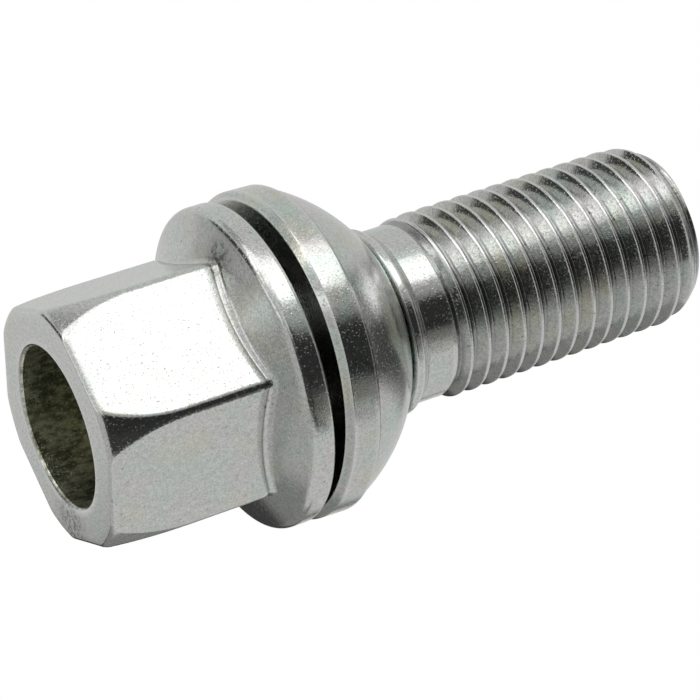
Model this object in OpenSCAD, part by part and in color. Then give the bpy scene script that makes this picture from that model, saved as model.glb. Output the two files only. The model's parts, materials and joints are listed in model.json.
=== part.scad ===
// Wheel bolt with a loose ball-seat collar, standing on its hexagon head.
// The bolt's axis is +Z, the end face of the head lies at z = 0 and the thread points up.
// Lengths are in millimetres and angles in degrees.

/* [Whole bolt] */
// Length from the end face of the head to the tip of the thread
total_len = 50; // [46:0.5:70]
// Length from the end face of the head to the back face of the flange
head_len = 15.55; // [13:0.05:17]

/* [Hexagon head] */
// Width across the flats
hex_af = 17; // [16:0.1:19]
// How far each long corner is rounded back from its sharp point
corner_cut = 0.135; // [0.02:0.005:0.4]
// Radius of the long bulge that draws the corners in towards the end face
crown_r = 25; // [12:1:60]
// Height over which that bulge runs
crown_h = 6; // [4:0.1:8]
// Bevel round the end face
end_bevel = 0.4; // [0.1:0.05:0.8]
// Diameter of the blind hole in the head
bore_d = 11.7; // [8:0.1:13]
// Depth of the blind hole
bore_depth = 11; // [6:0.1:12]
// Bevel at the mouth of the blind hole
bore_bevel = 0.2; // [0.05:0.05:0.6]
// Corner radius at the bottom of the blind hole
bore_floor_r = 1; // [0.3:0.1:2]

/* [Flange] */
// Outside diameter of the flange
flange_d = 23.8; // [21:0.1:25]
// Height of the flange where its cone meets the middle of a flat
flange_h = 3.5; // [2.8:0.05:4]
// Slope of the cone against the flange's back face
flange_slope = 25; // [15:0.5:32]
// Rounding between the cone and the rim
rim_front_r = 0.9; // [0.3:0.05:1.3]
// Rounding between the rim and the back face
rim_back_r = 0.45; // [0.1:0.05:0.6]

/* [Shank and thread] */
// Diameter of the plain shank, which is the thread's blank size
shank_d = 13.1; // [12.7:0.05:13.4]
// Rounding between the back face of the flange and the shank
shank_fillet = 0.2; // [0.05:0.05:0.25]
// Diameter over the bead that keeps the collar on
bead_d = 14.1; // [13.8:0.05:14.4]
// Length of the bead's steep front
bead_rise = 0.3; // [0.1:0.05:0.6]
// Length of the bead's top
bead_top = 0.55; // [0.2:0.05:1]
// Length of the bead's long back slope
bead_fall = 0.75; // [0.5:0.05:1.5]
// Nominal diameter of the thread
thread_d = 14; // [13.7:0.05:14.5]
// How far the thread crests stay below the nominal diameter, across the diameter
thread_allow = 0.15; // [0.03:0.01:0.3]
// Length of the full thread, the run-out and the rounded tip together
thread_len = 21.8; // [15:0.1:22.5]
// Length of the run-out between the shank and the full thread
run_out = 1.2; // [0.4:0.1:2]
// Length of the rounded tip
tip_len = 2.6; // [0.8:0.1:3]
// Radius of the arc that rounds the tip
tip_round_r = 3.8; // [3.1:0.1:8]

/* [Ball-seat collar] */
// Outside diameter of the collar
collar_d = 24.2; // [22:0.1:26]
// Length of the collar along its own axis
collar_len = 7.95; // [7:0.05:8.5]
// Length of the collar's straight rim, with its front bevel
collar_rim = 2.45; // [1.5:0.05:3]
// Bevel at the front of the rim
collar_bevel = 0.3; // [0.1:0.05:0.5]
// Radius of the ball that the seat is part of
seat_r = 13; // [12.7:0.1:14.5]
// Distance from the ball's centre to the collar's front face
seat_back = 2.65; // [2:0.05:3.2]
// Rounding at the small end of the collar
small_end_r = 0.3; // [0.1:0.05:0.4]
// Bevel at both ends of the collar's hole
collar_hole_bevel = 0.25; // [0.1:0.05:0.35]
// Radial play between the collar's hole and the shank
collar_play = 0.25; // [0.15:0.01:0.3]
// Gap left where the leaning collar comes nearest the shank
rub_gap = 0.06; // [0.04:0.01:0.1]
// Gap left where the leaning collar comes nearest the flange
touch_gap = 0.05; // [0.03:0.01:0.2]
// Gap left where the leaning collar comes nearest the bead
bead_gap = 0.12; // [0.05:0.01:0.4]
// Direction that the collar leans to, counted from +X towards +Y
lean_towards = 71; // [0:1:359]

/* [Hidden] */
$fn = 96;
eps = 0.01;
arc_steps = 8;

hex_half = hex_af / 2;
corner_r = hex_half / cos(30) - corner_cut;
bore_r = bore_d / 2;

flange_r = flange_d / 2;
flange_foot_z = head_len - flange_h;
back_face_r = flange_r - rim_back_r;

shank_r = shank_d / 2;
thread_r = (thread_d - thread_allow) / 2;
bead_r = bead_d / 2;
run_out_z = total_len - thread_len;
full_thread_z = run_out_z + run_out;
tip_z = total_len - tip_len;

collar_r = collar_d / 2;
collar_hole_r = shank_r + collar_play;
seat_end_r = sqrt(seat_r * seat_r - pow(collar_len + seat_back, 2));
seat_start_z = collar_rim + collar_r - sqrt(seat_r * seat_r - pow(collar_rim + seat_back, 2));

// The collar leans as far as the play in its hole lets it, and rests on the flange at one side.
lean = asin(2 * (collar_play - rub_gap) / collar_len);
half_shift = collar_len / 2 * sin(lean);
collar_front_z = head_len + touch_gap + tan(lean) * (back_face_r + half_shift);
collar_mid_z = collar_front_z + collar_len / 2 * cos(lean);
collar_reach_z = collar_mid_z + collar_len / 2 * cos(lean) + tan(lean) * (bead_r - half_shift);
bead_z = collar_reach_z + bead_gap;

// Points of an arc round [r, z] = c, from angle a0 to angle a1
function arc(c, radius, a0, a1, steps = arc_steps) =
    [for (i = [0:steps]) let (a = a0 + (a1 - a0) * i / steps) c + radius * [cos(a), sin(a)]];

// Height on the bulge of the head's corners at a given height above the end face
function crown_at(z) = corner_r - crown_r + sqrt(crown_r * crown_r - pow(crown_h - z, 2));

// The round form that trims the hexagon's corners
module corner_form() {
    crown_a = asin(crown_h / crown_r);
    rotate_extrude()
        polygon(concat(
            [[0, 0], [crown_at(end_bevel) - end_bevel, 0]],
            [for (i = [0:arc_steps])
                let (z = end_bevel + (crown_h - end_bevel) * i / arc_steps) [crown_at(z), z]],
            [[corner_r, head_len - eps], [0, head_len - eps]]));
}

// Bevels between the end face and the six flats
module end_bevels() {
    for (k = [0:5])
        rotate(30 + 60 * k)
            translate([hex_half, 0, 0])
                rotate([0, 45, 0])
                    cube([sqrt(2) * end_bevel, hex_af, sqrt(2) * end_bevel], center = true);
}

module hexagon() {
    difference() {
        intersection() {
            cylinder(r = hex_half / cos(30), h = head_len - eps, $fn = 6);
            corner_form();
        }
        end_bevels();
    }
}

// Flange, shank, bead and thread blank as one turned outline
module turned_body() {
    cone_slope = tan(flange_slope);
    front_c_r = flange_r - rim_front_r;
    front_c_z = flange_foot_z + (front_c_r + rim_front_r * sin(flange_slope) - hex_half) * cone_slope
        + rim_front_r * cos(flange_slope);
    rotate_extrude()
        polygon(concat(
            [[0, flange_foot_z - (hex_half - bore_r) * cone_slope],
             [bore_r, flange_foot_z - (hex_half - bore_r) * cone_slope]],
            arc([front_c_r, front_c_z], rim_front_r, flange_slope - 90, 0),
            arc([back_face_r, head_len - rim_back_r], rim_back_r, 0, 90),
            arc([shank_r + shank_fillet, head_len + shank_fillet], shank_fillet, 270, 180),
            [[shank_r, bead_z],
             [bead_r, bead_z + bead_rise],
             [bead_r, bead_z + bead_rise + bead_top],
             [shank_r, bead_z + bead_rise + bead_top + bead_fall],
             [shank_r, run_out_z],
             [thread_r, full_thread_z]],
            arc([thread_r - tip_round_r, tip_z], tip_round_r, 0, asin(tip_len / tip_round_r)),
            [[0, total_len]]));
}

// The blind hole, with a bevelled mouth and a rounded floor
module blind_hole() {
    rotate_extrude()
        polygon(concat(
            [[0, -eps], [bore_r + bore_bevel + eps, -eps], [bore_r, bore_bevel]],
            arc([bore_r - bore_floor_r, bore_depth - bore_floor_r], bore_floor_r, 0, 90),
            [[0, bore_depth]]));
}

module bolt() {
    color("#b4b8b6")
        difference() {
            union() {
                hexagon();
                turned_body();
            }
            blind_hole();
        }
}

// The collar along its own axis, with its front face at z = 0
module collar_upright() {
    seat_a0 = asin((seat_start_z + seat_back) / seat_r);
    seat_a1 = asin((collar_len - small_end_r + seat_back) / seat_r);
    rotate_extrude()
        polygon(concat(
            [[collar_hole_r, collar_hole_bevel],
             [collar_hole_r + collar_hole_bevel, 0],
             [collar_r - collar_bevel, 0],
             [collar_r, collar_bevel],
             [collar_r, collar_rim]],
            arc([0, -seat_back], seat_r, seat_a0, seat_a1, 3 * arc_steps),
            [[seat_end_r - small_end_r / 2, collar_len],
             [collar_hole_r + collar_hole_bevel, collar_len],
             [collar_hole_r, collar_len - collar_hole_bevel]]));
}

module seat_collar() {
    color("#a9ada9")
        translate([0, 0, collar_mid_z])
            rotate(a = lean, v = [-sin(lean_towards), cos(lean_towards), 0])
                translate([0, 0, -collar_len / 2])
                    collar_upright();
}

bolt();
seat_collar();
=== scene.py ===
# %% [markdown]
# # A zinc-plated wheel bolt with a loose ball-seat collar
# The bolt is one cold-forged piece: a hollow hexagon head, a flange with a conical front, a plain
# shank with a bead, and a rolled M14 x 1.5 thread. A turned ring with a ball-shaped seat hangs
# loose on the shank. The solids are already made, at their real size, so this lesson loads them as
# a fixed frame. It then models each visible form again with its small roundings and its real
# thread, gives both pieces their plating, and lights them as in a plain studio.

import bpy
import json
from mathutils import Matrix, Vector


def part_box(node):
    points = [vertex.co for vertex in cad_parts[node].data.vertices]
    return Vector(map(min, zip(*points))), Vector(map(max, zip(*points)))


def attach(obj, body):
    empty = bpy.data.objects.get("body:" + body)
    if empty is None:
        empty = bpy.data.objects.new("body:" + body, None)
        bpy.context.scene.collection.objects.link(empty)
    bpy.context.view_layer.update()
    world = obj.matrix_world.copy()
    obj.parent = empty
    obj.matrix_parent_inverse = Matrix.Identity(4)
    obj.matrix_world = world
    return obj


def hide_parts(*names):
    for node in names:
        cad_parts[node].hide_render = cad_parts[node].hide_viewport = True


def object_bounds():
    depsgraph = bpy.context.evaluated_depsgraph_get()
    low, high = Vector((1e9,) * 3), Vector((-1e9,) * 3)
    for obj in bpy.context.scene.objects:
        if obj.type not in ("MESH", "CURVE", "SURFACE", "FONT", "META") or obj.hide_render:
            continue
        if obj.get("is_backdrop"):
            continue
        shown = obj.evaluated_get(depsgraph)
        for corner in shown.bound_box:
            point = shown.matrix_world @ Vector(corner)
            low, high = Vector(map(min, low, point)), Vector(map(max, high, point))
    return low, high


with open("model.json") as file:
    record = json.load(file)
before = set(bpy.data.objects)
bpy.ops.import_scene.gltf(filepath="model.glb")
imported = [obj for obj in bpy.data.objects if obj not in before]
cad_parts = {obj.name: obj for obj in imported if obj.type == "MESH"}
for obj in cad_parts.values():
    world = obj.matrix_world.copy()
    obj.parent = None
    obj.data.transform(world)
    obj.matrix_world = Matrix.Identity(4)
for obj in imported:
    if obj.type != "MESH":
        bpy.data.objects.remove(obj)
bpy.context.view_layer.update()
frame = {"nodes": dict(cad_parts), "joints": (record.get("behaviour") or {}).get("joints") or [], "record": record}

# %% [markdown]
# ## Sizes
# Whatever the frame knows is read from it, so that the looks follow the solids: the mounts give
# the width across the flats, the hole and the thread, and the joint gives the axis of the leaning
# collar. The script works in millimetres and turns them into Blender's metres at the very end.

# %% Read the sizes from the frame
import json
import math

import bmesh
import bpy
import numpy as np
from mathutils import Matrix, Vector

MM = 0.001
lie_in = 0.01
mounts = {m["name"]: m for m in frame["record"]["mounts"]}
spin = frame["joints"][0]
hex_half = -mounts["hexagon_flat_front"]["pos_m"][1] / MM
bore_r = mounts["head_bore"]["dims"]["r_mm"]
thread_r = mounts["thread"]["dims"]["r_mm"]
total_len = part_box("bolt")[1].z / MM
flange_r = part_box("bolt")[1].x / MM - lie_in
collar_mid = np.array(spin["pos_m"]) / MM
collar_axis = np.array(spin["axis"])


def reach_about(node, point, axis):
    """Lowest and highest place along an axis, and smallest and largest distance from it."""
    corners = np.array([v.co for v in frame["nodes"][node].data.vertices]) / MM - point
    along = corners @ axis
    away = np.linalg.norm(corners - along[:, None] * axis, axis=1)
    return along.min(), along.max(), away.min(), away.max()


collar_low, collar_high, hole_r, collar_r = reach_about("seat_collar", collar_mid, collar_axis)
collar_len = collar_high - collar_low
collar_r -= lie_in
print(f"hexagon {2 * hex_half:.2f} mm, hole {2 * bore_r:.2f} mm, flange {2 * flange_r:.2f} mm")
print(f"collar {2 * collar_r:.2f} mm wide, {collar_len:.2f} mm long, hole {2 * hole_r:.2f} mm")

# %% [markdown]
# ## A turned form with a hexagon in it
# A lathe shape could come from a Screw modifier and a hexagon from a six-sided cylinder, but a
# boolean between them leaves hard edges that catch no light. Here both are one grid: columns run
# round the axis, and each row holds a radius and a height for every column. A round row has one
# radius, while a row on the hexagon has the flats' own radius in each column. The columns crowd
# together at the six corners, where the form turns quickly.

# %% Columns and rows
columns = 240
corner_crowding = 0.6
even_turn = np.arange(columns) * 2 * math.pi / columns
turn = even_turn - corner_crowding / 6 * np.sin(6 * even_turn)
flat_r = hex_half / np.cos(turn % math.radians(60) - math.radians(30))


def ring(radius, height):
    """One row of the grid: a radius and a height for each column."""
    return np.array([np.broadcast_to(radius, columns), np.broadcast_to(height, columns)])


def between(first, last, steps):
    """The rows that divide the way from one row to another, without the two ends."""
    return [first + (last - first) * i / steps for i in range(1, steps)]


def arc_rows(centre_r, centre_z, radius, start, end, steps):
    """Rows along a rounding about a centre, between two angles in degrees."""
    sweep = np.radians(np.linspace(start, end, steps + 1))
    return [ring(centre_r + radius * math.cos(a), centre_z + radius * math.sin(a)) for a in sweep]


def joined(first, *rest):
    """One list of rows from several, each pair with the number of steps that bridges it."""
    rows = list(first)
    for steps, part in zip(rest[::2], rest[1::2]):
        rows += between(rows[-1], part[0], steps) + list(part)
    return rows


def soft_min(a, b, reach):
    """The smaller of two values, with a rounding where they come within reach of each other."""
    mix = np.clip(0.5 + 0.5 * (b - a) / reach, 0, 1)
    return b + (a - b) * mix - reach * mix * (1 - mix)


print(columns, "columns, the closest", f"{math.degrees(turn[1] - turn[0]):.2f} degrees apart")

# %% [markdown]
# ## The hole in the head
# The blind hole is pressed in with a punch, so its floor meets the wall in a radius and its mouth
# has a small bevel, a little worn at both edges. It could be cut with a boolean, but as the first
# rows of the same grid it stays part of one clean skin.

# %% Blind hole
bore_depth = 11
bore_floor_r = 1
floor_start_r = 0.15
mouth_bevel = 0.2
worn = 0.04
bore_rows = joined(
    [ring(floor_start_r, bore_depth)],
    5,
    arc_rows(bore_r - bore_floor_r, bore_depth - bore_floor_r, bore_floor_r, 90, 0, 6),
    8,
    [ring(bore_r, mouth_bevel + 1.5 * worn), ring(bore_r + 0.75 * worn, mouth_bevel - 0.5 * worn)],
    3,
    [ring(bore_r + mouth_bevel - worn, 0.75 * worn), ring(bore_r + mouth_bevel + worn, 0)],
)
print(len(bore_rows), "rows in the hole")

# %% [markdown]
# ## The hexagon
# Forging leaves the six corners lower towards the end face, because the metal doesn't quite fill
# the die there. A wide arc gives that fall: where it cuts the corner off, a narrow facet shows
# that widens towards the end. The facet's edges are blended with a soft minimum, which is the
# rounding that a real die wears into them, and a boolean would leave a knife edge.

# %% Hexagon sides
corner_cut = 0.135
corner_r = hex_half / math.cos(math.radians(30)) - corner_cut
crown_r = 25
crown_h = 6
edge_r = 0.3
edge_h = 0.5
crease = 0.1


def side_r(height):
    """Radius of the head in each column: the flats, trimmed by the fall of the corners."""
    drop = np.clip(crown_h - np.asarray(height, float), 0, None)
    crown = corner_r - crown_r + np.sqrt(crown_r**2 - drop**2)
    return soft_min(flat_r, crown, crease)


edge_rows = []
for a in np.linspace(0, math.pi / 2, 7):
    height = edge_h * (1 - math.cos(a))
    edge_rows.append(ring(side_r(height) - edge_r * (1 - math.sin(a)), height))
print(f"corner radius {side_r(edge_h).max():.2f} mm at the end, {side_r(8).max():.2f} mm above")

# %% [markdown]
# ## The flange
# The flange's front is a cone, so it meets the flats lower than the corners, along a curved line
# with a small fillet. Each column finds its own foot on the cone, which a lathe profile alone
# can't do. The rim has a wide rounding in front and a small one behind.

# %% Where the flats meet the cone
head_len = 15.55
flange_foot = 12.05
slope = math.radians(25)
fillet_r = 0.7
seam_deep = 0.15

fillet_turn = math.pi / 2 - slope
fillet_reach = fillet_r * math.tan(fillet_turn / 2)
foot_r = side_r(flange_foot)
foot_z = flange_foot + (foot_r - hex_half) * math.tan(slope)
side_top = foot_z - fillet_reach
fillet_rows = [
    ring(
        foot_r - seam_deep * math.cos(a) + fillet_r * (1 - math.cos(a)),
        side_top + fillet_r * math.sin(a),
    )
    for a in np.linspace(0, fillet_turn, 6)
]
print(f"flange from {foot_z.min():.2f} mm on the flats, {foot_z.max():.2f} mm at the corners")

# %% Rows of the whole head
side_steps = 30
side_crowding = 1.3
seam_wide = 0.24
rim_front_r = 0.75
rim_back_r = 0.45
shank_r = 6.55
shank_fillet = 0.2

side_rows = []
for i in range(1, side_steps + 1):
    share = (i / side_steps) ** side_crowding
    height = edge_h + (side_top - seam_wide - edge_h) * share
    side_rows.append(ring(side_r(height), height))

front_c_r = flange_r - rim_front_r
cone_top = flange_foot + (front_c_r + rim_front_r * math.sin(slope) - hex_half) * math.tan(slope)
front_c_z = cone_top + rim_front_r * math.cos(slope)
head_rows = (
    joined(bore_rows, 5, edge_rows)
    + side_rows
    + joined(
        fillet_rows,
        8,
        arc_rows(front_c_r, front_c_z, rim_front_r, math.degrees(slope) - 90, 0, 8),
        2,
        arc_rows(flange_r - rim_back_r, head_len - rim_back_r, rim_back_r, 0, 90, 6),
        4,
        arc_rows(shank_r + shank_fillet, head_len + shank_fillet, shank_fillet, 270, 180, 3),
    )
)
print(len(head_rows), "rows in the head")

# %% [markdown]
# ## The shank and its bead
# A bead rolled round the shank keeps the collar on the bolt. It is a smooth swelling with a steep
# front and a longer back, so its rows follow one formula instead of a list of points.

# %% Shank and bead
bead_h = 0.5
bead_front = (24.54, 24.95)
bead_back = (25.35, 26.15)
strip_start = 26.35
bead_steps = 24
margin = 0.05


def rise(value, start, end):
    """0 before start and 1 after end, with a smooth climb between them."""
    t = np.clip((value - start) / (end - start), 0, 1)
    return t * t * (3 - 2 * t)


def shank_at(height):
    """Radius of the shank and its bead at a height."""
    return shank_r + bead_h * (rise(height, *bead_front) - rise(height, *bead_back))


bead_heights = np.concatenate([
    np.linspace(bead_front[0] - 2 * margin, bead_back[1] + margin, bead_steps),
    [strip_start - margin],
])
shank_rows = joined(head_rows, 5, [ring(shank_at(z), z) for z in bead_heights])
print(len(shank_rows), "rows up to the thread")

# %% [markdown]
# ## The thread
# A thread could be a Screw modifier on a profile, which leaves two loose ends to hide. Here the
# grid itself follows the helix: every row climbs one pitch in a turn, so that row i ends where
# row i plus one pitch begins. Crests and roots then run along the rows and stay sharp with few
# points. The ridges rise out of the plain shank over the run-out, and fade where the rounded tip
# is narrower than they are.

# %% Thread form
pitch = 1.5
crest_at = 29.649
depth = 0.6134 * pitch
crest_w = pitch / 8
flank = math.tan(math.radians(60))
root_fillet = 0.144 * pitch
root_from = pitch / 2 - root_fillet * math.cos(math.radians(30))
run_out_start = 28.2
run_out_end = 29.5
tip_arc_r = 3.8
tip_arc_start = 47.4
crest_round = 0.05
blank_round = 0.04

crest_steps = np.array([0, 0.05, 0.095, 0.14])
flank_steps = np.array([0.18, root_from - 0.05])
root_steps = np.array([root_from, (root_from + pitch / 2) / 2])
half_steps = np.concatenate([crest_steps, flank_steps, root_steps])
pitch_steps = np.concatenate([half_steps, [pitch / 2], pitch - half_steps[:0:-1]])
rows_a_turn = len(pitch_steps)


def thread_at(offset):
    """Radius of the full thread at a distance from the middle of a crest."""
    away = np.abs((offset + pitch / 2) % pitch - pitch / 2)
    on_flank = thread_r - (away - crest_w / 2) * flank
    in_root = thread_r - depth + root_fillet - np.sqrt(
        np.clip(root_fillet**2 - (pitch / 2 - away) ** 2, 0, None)
    )
    formed = np.where(away > root_from, in_root, on_flank)
    return soft_min(formed, thread_r + 0 * away, crest_round)


tip_r = thread_r - tip_arc_r + math.sqrt(tip_arc_r**2 - (total_len - tip_arc_start) ** 2)


def tip_outline(path):
    """Radius and height of the blank along its outline, over the tip and onto its end face."""
    over = np.clip(path - total_len, 0, None)
    height = np.minimum(path, total_len)
    fall = tip_arc_r - np.sqrt(tip_arc_r**2 - np.clip(height - tip_arc_start, 0, None) ** 2)
    return thread_r - fall - over, height


print(rows_a_turn, "rows a turn, tip", f"{2 * tip_r:.2f} mm wide")

# %% Thread strip
onto_end_face = 0.3
strip_end = total_len + onto_end_face
turns = math.ceil((strip_end - strip_start) / pitch)
last_row = turns * rows_a_turn
all_steps = np.concatenate([pitch_steps + k * pitch for k in range(turns + 2)])
strip_phase = (crest_at - strip_start) % pitch
all_steps = all_steps - (pitch - strip_phase)
all_steps = all_steps[all_steps >= 0][: last_row + rows_a_turn + 1]


def strip_point(row, share):
    """A point of the helical strip: its row, and its share of a turn round the axis."""
    angle = share * 2 * math.pi - corner_crowding / 6 * math.sin(6 * share * 2 * math.pi)
    path = strip_start + all_steps[row] + pitch * angle / (2 * math.pi)
    blank, height = tip_outline(path)
    ridge = thread_at(height - crest_at - pitch * angle / (2 * math.pi))
    grown = rise(height, run_out_start, run_out_end)
    radius = float(soft_min(shank_r + grown * (ridge - shank_r), blank, blank_round))
    return radius * math.cos(angle), radius * math.sin(angle), height


print(last_row, "helical rows over", turns, "turns")

# %% [markdown]
# ## From rows to a mesh
# Four neighbouring points make a face, and the last column closes on the first one. Blender
# would shade every corner of the mesh by the plain mean of its faces, which makes flat faces look
# swollen beside a rounding, so the normals are worked out by area instead. Two masks are kept at
# each point as well: how sharply the skin bends outward, where plating is rubbed bright and a
# painted highlight lightens the colour, and how sharply it bends inward, where painted shade
# darkens the colour.

# %% Points and faces of the grid
def round_points(rows):
    """The points of the grid's rows."""
    stack = np.array(rows)
    radius, height = stack[:, 0], stack[:, 1]
    return np.stack([radius * np.cos(turn), radius * np.sin(turn), height], -1).reshape(-1, 3)


def round_faces(first_row, last_row):
    """The faces between rows of the grid."""
    return [
        (r * columns + c, r * columns + n, (r + 1) * columns + n, (r + 1) * columns + c)
        for r in range(first_row, last_row)
        for c, n in zip(range(columns), [*range(1, columns), 0])
    ]


# %% Edge mask, and the crease mask for painted shade
faint_bend = 0.3
full_bend = 2.0


def bend_masks(mesh, normals):
    """For each point, how much the skin bends outward and inward, from 0 to 1."""
    places = np.array([v.co for v in mesh.vertices]) / MM
    ends = np.array([e.vertices for e in mesh.edges])
    step = places[ends[:, 1]] - places[ends[:, 0]]
    square = (step**2).sum(1)
    bend, count = np.zeros(len(places)), np.zeros(len(places))
    for side, sign in ((0, 1), (1, -1)):
        here = -2 * sign * (normals[ends[:, side]] * step).sum(1) / square
        np.add.at(bend, ends[:, side], here)
        np.add.at(count, ends[:, side], 1)
    bend /= np.maximum(count, 1)
    return rise(bend, faint_bend, full_bend), rise(-bend, faint_bend, full_bend)


# %% One finished piece
def make_piece(name, points, faces, body, node):
    """A smooth mesh object at the origin that rides on a body in place of a solid."""
    mesh = bpy.data.meshes.new(name)
    mesh.from_pydata((np.asarray(points) * MM).tolist(), [], faces)
    mesh.shade_smooth()
    mesh.calc_loop_triangles()
    corners = np.array([t.vertices for t in mesh.loop_triangles])
    places = np.array([v.co for v in mesh.vertices])
    a, b, c = (places[corners[:, i]] for i in range(3))
    facing = np.cross(b - a, c - a)
    normals = np.zeros_like(places)
    for i in range(3):
        np.add.at(normals, corners[:, i], facing)
    normals /= np.linalg.norm(normals, axis=1)[:, None]
    mesh.normals_split_custom_set_from_vertices(normals.tolist())
    for label, mask in zip(("edge", "hollow"), bend_masks(mesh, normals)):
        stored = mesh.attributes.new(label, "FLOAT", "POINT")
        stored.data.foreach_set("value", mask.astype(np.float32))
    piece = bpy.data.objects.new(name, mesh)
    bpy.context.scene.collection.objects.link(piece)
    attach(piece, body)
    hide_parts(node)
    print(name, len(points), "points,", len(corners), "triangles")
    return piece


# %% Bolt mesh
ring_points = round_points(shank_rows)
ring_count = len(shank_rows)
strip_from = len(ring_points)
strip_points = [
    strip_point(row, c / columns) for row in range(last_row + 1) for c in range(columns)
]
seam_from = strip_from + len(strip_points)
seam_points = [strip_point(last_row + 1 + i, 0) for i in range(rows_a_turn)]
floor_centre = seam_from + len(seam_points)
tip_centre = floor_centre + 1
bolt_points = np.concatenate([
    ring_points,
    strip_points,
    seam_points,
    [(0, 0, bore_depth), (0, 0, total_len)],
])


def strip_index(row, column):
    """Number of a point of the strip, where the column after the last is one pitch further up."""
    if column == columns:
        row, column = row + rows_a_turn, 0
    if row > last_row:
        return seam_from + row - last_row - 1
    return strip_from + row * columns + column


bolt_faces = round_faces(0, ring_count - 1)
bolt_faces += [
    (
        strip_index(r, c),
        strip_index(r, c + 1),
        strip_index(r + 1, c + 1),
        strip_index(r + 1, c),
    )
    for r in range(last_row)
    for c in range(columns)
]

# %% [markdown]
# The strip's two ends are steps, one pitch high. Each is closed by a fan of triangles, on the
# plain shank below and on the flat end of the tip, where nothing of it shows.

# %% Close the ends
neck = (ring_count - 1) * columns
bolt_faces += [
    (neck + c, neck + c + 1, strip_index(0, c + 1), strip_index(0, c))
    for c in range(columns - 1)
]
start_step = [neck + columns - 1, neck] + [strip_index(r, 0) for r in range(rows_a_turn + 1)]
start_apex = strip_index(0, columns - 1)
bolt_faces += [(start_apex, a, b) for a, b in zip(start_step, start_step[1:])]
bolt_faces += [
    (strip_index(last_row, c), strip_index(last_row, c + 1), tip_centre)
    for c in range(1, columns)
]
end_step = [tip_centre] + [strip_index(last_row + r, 0) for r in range(rows_a_turn, -1, -1)]
end_apex = strip_index(last_row, 1)
bolt_faces += [(end_apex, a, b) for a, b in zip(end_step, end_step[1:])]
bolt_faces += [(n, c, floor_centre) for c, n in zip(range(columns), [*range(1, columns), 0])]
bolt = make_piece("forged_bolt", bolt_points, bolt_faces, "bolt", "bolt")

# %% [markdown]
# ## The loose collar
# The collar is turned from bar: a flat front face, a straight rim, and a seat that is part of a
# ball so that it centres itself in the wheel. It leans on the shank as far as its play allows.
# The rows are made upright, on the collar's own axis, and turned into place as points, because an
# object that stays at the origin follows its body without any extra placing.

# %% Collar mesh
rim_len = 2.45
rim_bevel = 0.5
edge_round = 0.12
edge_step = 0.04
seat_r = 13
seat_back = 2.65
small_end_r = 0.3
hole_bevel = 0.25

half_len = collar_len / 2
seat_centre = -half_len - seat_back
rim_top = rim_len - half_len
seat_start = math.degrees(math.asin((rim_top + 3.5 * edge_step - seat_centre) / seat_r))
seat_end = math.degrees(math.asin((half_len - small_end_r / 2 - seat_centre) / seat_r))
end_r = math.sqrt(seat_r**2 - (half_len - seat_centre) ** 2)
bend = edge_round * math.tan(math.radians(22.5))
collar_rows = joined(
    [ring(hole_r, half_len - hole_bevel), ring(hole_r, hole_bevel - half_len)],
    3,
    [ring(hole_r + hole_bevel, -half_len)],
    8,
    arc_rows(collar_r - rim_bevel - bend, edge_round - half_len, edge_round, -90, -45, 3),
    3,
    arc_rows(collar_r - edge_round, rim_bevel + bend - half_len, edge_round, -45, 0, 3),
    6,
    [ring(collar_r, rim_top - 0.75 * edge_step), ring(collar_r - edge_step, rim_top + edge_step)],
    2,
    arc_rows(0, seat_centre, seat_r, seat_start, seat_end, 30),
    3,
    [ring(end_r - small_end_r / 2, half_len)],
    4,
    [ring(hole_r + hole_bevel, half_len)],
    3,
    [ring(hole_r, half_len - hole_bevel)],
)[:-1]
upright = round_points(collar_rows)
lean = Vector((0, 0, 1)).rotation_difference(Vector(collar_axis)).to_matrix()
collar_points = upright @ np.array(lean).T + collar_mid
collar_faces = round_faces(0, len(collar_rows) - 1)
end = (len(collar_rows) - 1) * columns
collar_faces += [(end + c, end + n, n, c) for c, n in zip(range(columns), [*range(1, columns), 0])]
collar = make_piece(
    "ball_seat_collar", collar_points, collar_faces, "collar", "seat_collar"
)

# %% [markdown]
# ## Shader maths in plain expressions
# Node trees are easier to read as sums. The class below wraps one output of a node, and adds a
# Math node for each operator. The board adds every other kind of node with one method: its
# settings come first, and then the values or links of its inputs.

# %% A socket that can be used in a sum
class Wire:
    """One output socket of a node, with Python's operators as Math nodes."""

    def __init__(self, board, socket):
        self.board, self.socket = board, socket

    def maths(self, operation, first, second):
        return self.board.node("ShaderNodeMath", {"operation": operation}, {0: first, 1: second})

    def __add__(self, other):
        return self.maths("ADD", self, other)

    def __sub__(self, other):
        return self.maths("SUBTRACT", self, other)

    def __rsub__(self, other):
        return self.maths("SUBTRACT", other, self)

    def __mul__(self, other):
        return self.maths("MULTIPLY", self, other)

    __radd__ = __add__
    __rmul__ = __mul__


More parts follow.
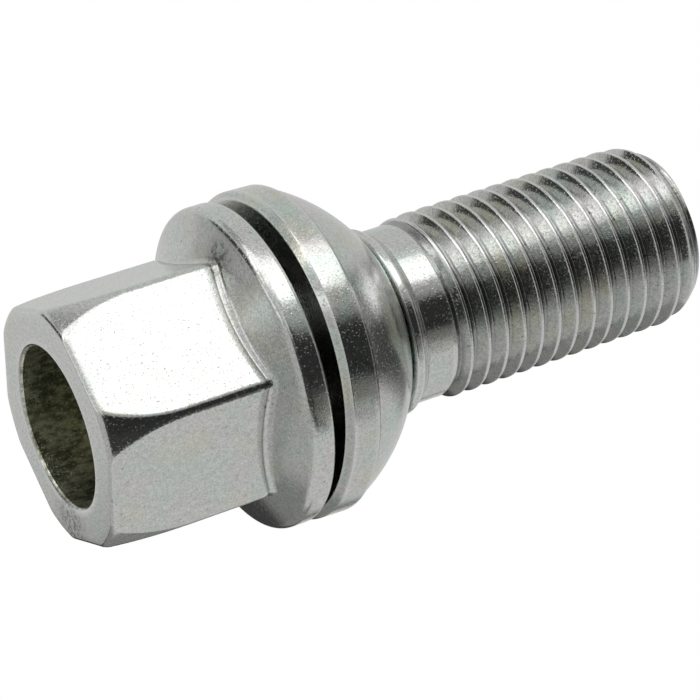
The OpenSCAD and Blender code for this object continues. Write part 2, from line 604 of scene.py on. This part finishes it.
class Board:
    """A node tree, and the one method that adds to it."""

    def __init__(self, tree):
        self.tree = tree
        tree.nodes.clear()

    def node(self, kind, settings, sockets, output=0):
        made = self.tree.nodes.new(kind)
        for name, value in settings.items():
            setattr(made, name, value)
        for name, value in sockets.items():
            if isinstance(value, Wire):
                self.tree.links.new(value.socket, made.inputs[name])
            else:
                made.inputs[name].default_value = value
        return Wire(self, made.outputs[output]) if made.outputs else made

    def vector(self, operation, first, second=(0, 0, 0)):
        return self.node("ShaderNodeVectorMath", {"operation": operation}, {0: first, 1: second})

    def dot(self, first, second):
        settings = {"operation": "DOT_PRODUCT"}
        return self.node("ShaderNodeVectorMath", settings, {0: first, 1: second}, output=1)

    def length(self, value):
        return self.node("ShaderNodeVectorMath", {"operation": "LENGTH"}, {0: value}, output=1)

    def range(self, value, low, high, to_low=0.0, to_high=1.0):
        return self.node(
            "ShaderNodeMapRange",
            {"interpolation_type": "SMOOTHSTEP"},
            {"Value": value, "From Min": low, "From Max": high, "To Min": to_low, "To Max": to_high},
        )

    def mix(self, share, first, second, blend="MIX"):
        return self.node(
            "ShaderNodeMix",
            {"data_type": "RGBA", "blend_type": blend},
            {0: share, 6: first, 7: second},
            output=2,
        )

    def noise(self, place, scale, detail=2.0, roughness=0.5):
        return self.node(
            "ShaderNodeTexNoise",
            {},
            {"Vector": place, "Scale": scale, "Detail": detail, "Roughness": roughness},
        )


# %% [markdown]
# ## Bright zinc plate
# Zinc plate on forged steel isn't one grey. Its crystals are a tenth of a millimetre across and
# tilt a little each way, so the shine breaks into fine speckle. A thin clear film over them
# shows faint green, pink and straw, and small pits from the forging stay open and dark. The
# grain goes into the bump and the roughness, the film into the colour. The colour also holds a
# painted highlight on outward edges and painted shade in inward creases. All of it is worked
# out from the place on the piece, so nothing has to be unwrapped.

# %% Colours of the film
def grey(level, red=0.0, green=0.0, blue=0.0):
    """A near-grey colour with a small cast."""
    return (level + red, level + green, level + blue, 1)


def filmed(board, place, level, film):
    """The plate's own grey, with clouds of green, straw and pink as strong as film says."""
    green = board.range(board.noise(place, 0.23, detail=1.0), 0.42, 0.62)
    straw = board.range(board.noise(place, 0.29, detail=1.0), 0.5, 0.68)
    pink = board.range(board.noise(place, 0.37, detail=0.0), 0.55, 0.75)
    plain = grey(level, 0.0, 0.004, -0.015)
    plate = board.mix(green, plain, grey(level, -0.05 * film, 0.02 * film, -0.035 * film))
    plate = board.mix(straw, plate, grey(level, 0.0, 0.0, -0.1 * film))
    return board.mix(pink, plate, grey(level, 0.006 * film, -0.006 * film, -0.02 * film))


# %% [markdown]
# Two places differ from the rest of the plate. Where one corner of the hexagon meets the flange,
# and along one side of the end face, it is scuffed dark in spots that the grain breaks up. The
# wall of the hole was drawn by the punch: it is streaked along the axis, duller and more yellow,
# and its sparks lift the colour towards white as painted glints.

# %% Scuffs and the drawn wall
def scuffed(board, place, texture, centre, reach):
    """1 where the skin is scuffed within reach of a centre."""
    away = board.length(board.vector("SUBTRACT", place, centre))
    return board.range(away, reach, 0.1 * reach) * board.range(texture, 0.5, 0.9)


def in_hole(board, place):
    """1 on the skin of the blind hole and 0 on the rest."""
    height = board.node("ShaderNodeSeparateXYZ", {}, {0: place}, output=2)
    away = board.length(board.vector("MULTIPLY", place, (1, 1, 0)))
    below_floor = board.range(height, bore_depth + 0.3, bore_depth + 0.1)
    return board.range(away, bore_r + 0.2, bore_r + 0.05) * below_floor


def drawn_wall(board, place, cloud, spark):
    """The streaked colour of the hole's wall, with painted glints where its sparks lift it towards white."""
    drawn = board.noise(board.vector("MULTIPLY", place, (1, 1, 0.5)), 2.6, detail=4.0)
    streaks_and_painted_glints = board.range(drawn + cloud, 0.8, 1.25) + spark
    return board.mix(streaks_and_painted_glints, grey(0.26, 0.0, 0.01, -0.06), grey(0.95, 0.0, 0.0, -0.16))


# %% Zinc finish
def zinc(name, level, film, pits, scuffs=(), hole=False):
    """Bright zinc plate: film is how strong its colours are, pits how deep its pits look."""
    material = bpy.data.materials.new(name)
    material.use_nodes = True
    board = Board(material.node_tree)
    inside_piece = board.node("ShaderNodeTexCoord", {}, {}, output=3)
    place = board.vector("MULTIPLY", inside_piece, (1 / MM, 1 / MM, 1 / MM))
    edge = board.node("ShaderNodeAttribute", {"attribute_name": "edge"}, {}, output=2)
    hollow = board.node("ShaderNodeAttribute", {"attribute_name": "hollow"}, {}, output=2)

    grain = board.noise(place, 7.0, detail=2.0, roughness=0.6)
    coarse = board.noise(place, 2.6, detail=3.0, roughness=0.65)
    cloud = board.noise(place, 0.4, detail=2.0)
    crowd = board.range(board.noise(place, 0.35, detail=1.0), 0.45, 0.62, 0.08, -0.04)
    pit = board.range(board.noise(place, 3.6, detail=1.0) - crowd, 0.65, 0.8) * pits
    spark = board.range(board.noise(place, 6.5, detail=2.0), 0.58, 0.76)

    speckle = board.range(grain, 0.3, 0.7, 0.84, 1.12) * board.range(coarse, 0.3, 0.7, 0.92, 1.06)
    plate = board.mix(1.0, filmed(board, place, level, film), speckle, blend="MULTIPLY")
    # Outward edges are lightened towards pale grey: partly plating rubbed bright, partly a painted highlight.
    plate = board.mix(0.4 * edge, plate, grey(0.86))
    rough = 0.08 + 0.07 * board.range(grain, 0.3, 0.7) + 0.05 * cloud - 0.02 * edge
    # Inward creases are darkened as painted shade, up to half way to dark grey; the pits and scuffs added to it
    # are real dark marks.
    marks_and_crease_shade = board.range(hollow, 0.0, 1.0, 0.0, 0.5) + 0.8 * pit
    for centre, reach in scuffs:
        scuff = scuffed(board, place, coarse + 0.4 * grain, centre, reach)
        marks_and_crease_shade = marks_and_crease_shade + 0.8 * scuff
        rough = rough + 0.2 * scuff
    if hole:
        within = in_hole(board, place)
        # In the hole the colour becomes the streaked wall, with painted glints from its sparks.
        plate = board.mix(within, plate, drawn_wall(board, place, cloud, spark))
        rough = rough + 0.16 * within
    plate = board.mix(board.range(marks_and_crease_shade, 0.0, 1.0), plate, grey(0.12))

    relief = 2 * grain + 3 * coarse + 4.5 * spark - 2 * marks_and_crease_shade
    bump_sockets = {"Strength": 1.0, "Distance": 0.002 * MM, "Height": relief}
    bump = board.node("ShaderNodeBump", {}, bump_sockets)
    shader = board.node(
        "ShaderNodeBsdfPrincipled",
        {},
        {"Base Color": plate, "Metallic": 1.0, "Roughness": rough, "Normal": bump},
    )
    board.node("ShaderNodeOutputMaterial", {}, {"Surface": shader})
    return material


# %% Plate the two pieces
scuffed_corner = (-5.0, -8.7, 12.7)
rubbed_end = (5.4, 5.6, 0.0)
scuffs = [(scuffed_corner, 2.6), (rubbed_end, 4.2)]
bolt_plate = zinc("bright_zinc_bolt", 0.66, 0.6, 0.6, scuffs, hole=True)
collar_plate = zinc("bright_zinc_collar", 0.64, 1.0, 0.3)
bolt.data.materials.append(bolt_plate)
collar.data.materials.append(collar_plate)
print("materials", bolt_plate.name, collar_plate.name)

# %% [markdown]
# ## Camera
# The photograph was taken with a long lens, close to the head's end. The camera's place was
# found by matching the thread's crests, the flange and the collar, and it is written here as a
# direction, a distance and a roll round the bolt.

# %% Camera
aim = (4.074, -7.669, 19.065)
distance = 205.45
azimuth = 109.2139
elevation = 24.2364
roll = 71.4876
lens = 153.3797

camera_data = bpy.data.cameras.new("camera")
camera_data.sensor_width = 36
camera_data.lens = lens
camera_data.clip_start = 0.01
camera_data.clip_end = 10
camera = bpy.data.objects.new("camera", camera_data)
bpy.context.scene.collection.objects.link(camera)
forward = Vector((
    math.cos(math.radians(azimuth)) * math.cos(math.radians(elevation)),
    math.sin(math.radians(azimuth)) * math.cos(math.radians(elevation)),
    math.sin(math.radians(elevation)),
))
turned = forward.to_track_quat("-Z", "Y").to_matrix() @ Matrix.Rotation(math.radians(roll), 3, "Z")
camera.location = (Vector(aim) - forward * distance) * MM
camera.rotation_euler = turned.to_euler()
bpy.context.scene.camera = camera
bpy.context.scene.view_settings.view_transform = "Standard"
print("camera at", [round(x / MM, 1) for x in camera.location], "mm")

# %% [markdown]
# ## Studio
# Polished metal is drawn by what it mirrors. Lamps alone would leave it black between their
# spots, so a plain pale room is painted on the inside of one large ball round the bolt. It holds
# soft patches: a ceiling with a light in it, a long light to the left, a few pale boards, and the
# dark side of the room round the camera. Each is placed by angles from the camera, to its right and
# above it, with its width, its height and its strength, and a later one covers an earlier one.

# %% Patches of the room
room_level = 0.66
patches = [
    ("wall on the right", 88, 6, 121, 23, 0.2),
    ("wall's foot", 59, -5, 64, 42, 0.24),
    ("wall above it", 75, 31, 129, 22, 0.28),
    ("dark side", 1, -19, 107, 55, 0.05),
    ("dark corner", -92, 12, 40, 39, 0.05),
    ("dark above it", -49, 64, 62, 38, 0.38),
    ("shadow behind", -108, -40, 135, 37, 0.05),
    ("board on the left", -74, -37, 98, 81, 0.48),
    ("table behind", -159, -47, 61, 30, 0.26),
    ("board in front", -31, -5, 44, 68, 0.52),
    ("left light", -55, 7, 45, 5, 1.5),
    ("left light's top", -53, 37, 12, 27, 2.0),
    ("upper left", -22, 22, 59, 4, 0.9),
    ("ceiling", 11, 61, 66, 38, 1.45),
    ("wall behind the light", 56, 35, 75, 14, 0.44),
    ("top light", 41, 56, 10, 20, 2.6),
    ("dark slot", 42, 4, 62, 36, 0.03),
    ("dark behind the seat", 120, 8, 34, 20, 0.07),
    ("lamp behind the seat", 124, 24, 18, 10, 1.1),
]


# %% Angles from the camera
def from_camera(right_angle, up_angle):
    """Unit vector from the bolt, by the angles to the camera's right and above it."""
    a, e = math.radians(right_angle), math.radians(up_angle)
    return turned @ Vector((math.sin(a) * math.cos(e), math.sin(e), math.cos(a) * math.cos(e)))


def span(board, direction, axis, angle, softness=4):
    """1 within half an angle either side of the plane across an axis, and 0 beyond it."""
    away = board.node("ShaderNodeMath", {"operation": "ABSOLUTE"}, {0: board.dot(direction, axis)})
    outer, inner = (math.sin(math.radians(angle / 2 + s)) for s in (softness, -softness))
    return board.range(away, outer, inner)


# %% [markdown]
# The ball glows inward and is hidden from the camera, so the picture shows what lies behind it: a
# plain white world, which lights nothing because the ball closes it off.

# %% Room ball
room_r = 1.0
room_mesh = bpy.data.meshes.new("room")
ball = bmesh.new()
bmesh.ops.create_icosphere(ball, subdivisions=4, radius=room_r)
ball.to_mesh(room_mesh)
ball.free()
room = bpy.data.objects.new("room", room_mesh)
bpy.context.scene.collection.objects.link(room)
room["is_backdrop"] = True
room.visible_camera = False

room_material = bpy.data.materials.new("room_light")
room_material.use_nodes = True
board = Board(room_material.node_tree)
position = board.node("ShaderNodeNewGeometry", {}, {}, output=0)
direction = board.vector("NORMALIZE", position)
level = room_level
for name, right_angle, up_angle, wide, high, strength in patches:
    mask = span(board, direction, from_camera(right_angle + 90, 0), wide)
    mask = mask * span(board, direction, from_camera(right_angle, up_angle + 90), high)
    mask = mask * board.range(board.dot(direction, from_camera(right_angle, up_angle)), 0, 0.1)
    level = level + mask * (strength - level)
light = board.node("ShaderNodeEmission", {}, {"Color": level, "Strength": 1.0})
board.node("ShaderNodeOutputMaterial", {}, {"Surface": light})
room_mesh.materials.append(room_material)
print(len(patches), "patches in a room of level", room_level)

# %% White world
world = bpy.data.worlds.new("white")
bpy.context.scene.world = world
world.use_nodes = True
board = Board(world.node_tree)
white = board.node("ShaderNodeBackground", {}, {"Color": (1, 1, 1, 1), "Strength": 1.0})
board.node("ShaderNodeOutputWorld", {}, {"Surface": white})

# %% [markdown]
# ## Floor
# The bolt stands on its head, but the photograph looks up at it from below the floor's level. The
# floor is therefore a one-sided sheet: from above it is pale board with the bolt's shadow on it,
# and from below it is clear. Only the camera sees it, so the metal mirrors the room alone.

# %% One-sided floor
floor_half = 400
floor_gap = 0.01
board_white = 0.85
own_glow = 0.45
floor_mesh = bpy.data.meshes.new("floor")
floor_corners = [(-1, -1), (1, -1), (1, 1), (-1, 1)]
floor_points = [(x * floor_half * MM, y * floor_half * MM, floor_gap * MM) for x, y in floor_corners]
floor_mesh.from_pydata(floor_points, [], [(0, 1, 2, 3)])
floor = bpy.data.objects.new("floor", floor_mesh)
bpy.context.scene.collection.objects.link(floor)
floor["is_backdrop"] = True
floor.visible_diffuse = False
floor.visible_glossy = False
floor.visible_transmission = False
floor.visible_shadow = False

floor_material = bpy.data.materials.new("white_board")
floor_material.use_nodes = True
board = Board(floor_material.node_tree)
paint = board.node("ShaderNodeBsdfDiffuse", {}, {"Color": grey(board_white)})
glow = board.node("ShaderNodeEmission", {}, {"Color": grey(own_glow), "Strength": 1.0})
top = board.node("ShaderNodeAddShader", {}, {0: paint, 1: glow})
clear = board.node("ShaderNodeBsdfTransparent", {}, {})
from_below = board.node("ShaderNodeNewGeometry", {}, {}, output=6)
shown = board.node("ShaderNodeMixShader", {}, {0: from_below, 1: top, 2: clear})
board.node("ShaderNodeOutputMaterial", {}, {"Surface": shown})
floor_mesh.materials.append(floor_material)
print("floor", 2 * floor_half, "mm wide")

# %% [markdown]
# ## Size
# The box round everything that renders, apart from the room and the floor, is printed in millimetres.
# The looks may not outgrow the solids.

# %% Print the visual box
low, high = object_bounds()
print("visual box", [round(x / MM, 2) for x in (*low, *high)])
